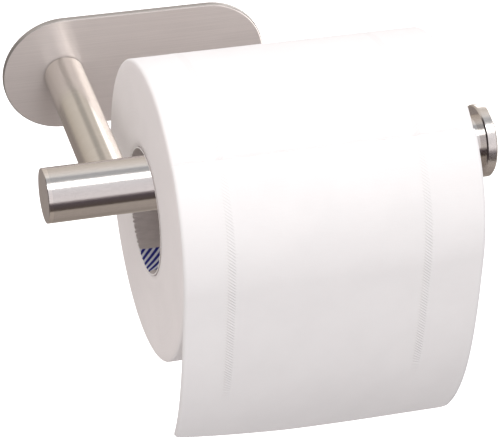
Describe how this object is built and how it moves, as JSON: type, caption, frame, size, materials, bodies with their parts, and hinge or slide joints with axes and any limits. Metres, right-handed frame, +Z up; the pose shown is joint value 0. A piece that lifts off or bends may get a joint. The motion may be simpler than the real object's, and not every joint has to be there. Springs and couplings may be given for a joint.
{
  "type": "toilet paper holder",
  "caption": "Wall-mounted toilet paper holder: obround stick-on plate, round post, straight open-ended bar with a stop disc, and a paper roll that turns and slides on the bar.",
  "frame": {"origin": "centre of the adhesive pad's face that sits on the wall", "axes": "+Y points into the wall, +X runs along the bar from its free left end to the stop disc, +Z is up"},
  "size_m": [0.1585, 0.1332, 0.1296],
  "materials": {
    "plate_steel": "satin",
    "tube_steel": "satin",
    "fastener_steel": "satin",
    "pad_foam": "matte",
    "core_cardboard": "matte",
    "wound_tissue": "matte",
    "sheet_tissue": "matte"
  },
  "bodies": {
    "holder": {"adhesive_pad": "pad_foam", "wall_plate": "plate_steel", "locating_pin": "fastener_steel", "clamp_screw": "fastener_steel", "post": "tube_steel", "bar_tube": "tube_steel", "barrel_nut": "fastener_steel", "left_end_cap": "tube_steel", "right_end_insert": "fastener_steel", "disc_stud": "fastener_steel", "stop_disc": "tube_steel"},
    "sheet": {"loose_sheet": "sheet_tissue"},
    "roll": {"core_tube": "core_cardboard", "paper_roll": "wound_tissue"}
  },
  "joints": [
    {"name": "roll_slide", "type": "slide", "parent": "holder", "child": "sheet", "axis": [1, 0, 0], "range_m": [-0.0035, 0.015]},
    {"name": "roll_spin", "type": "hinge", "parent": "sheet", "child": "roll", "pos_m": [0.03675, -0.08, -0.0115], "axis": [1, 0, 0], "continuous": true}
  ]
}
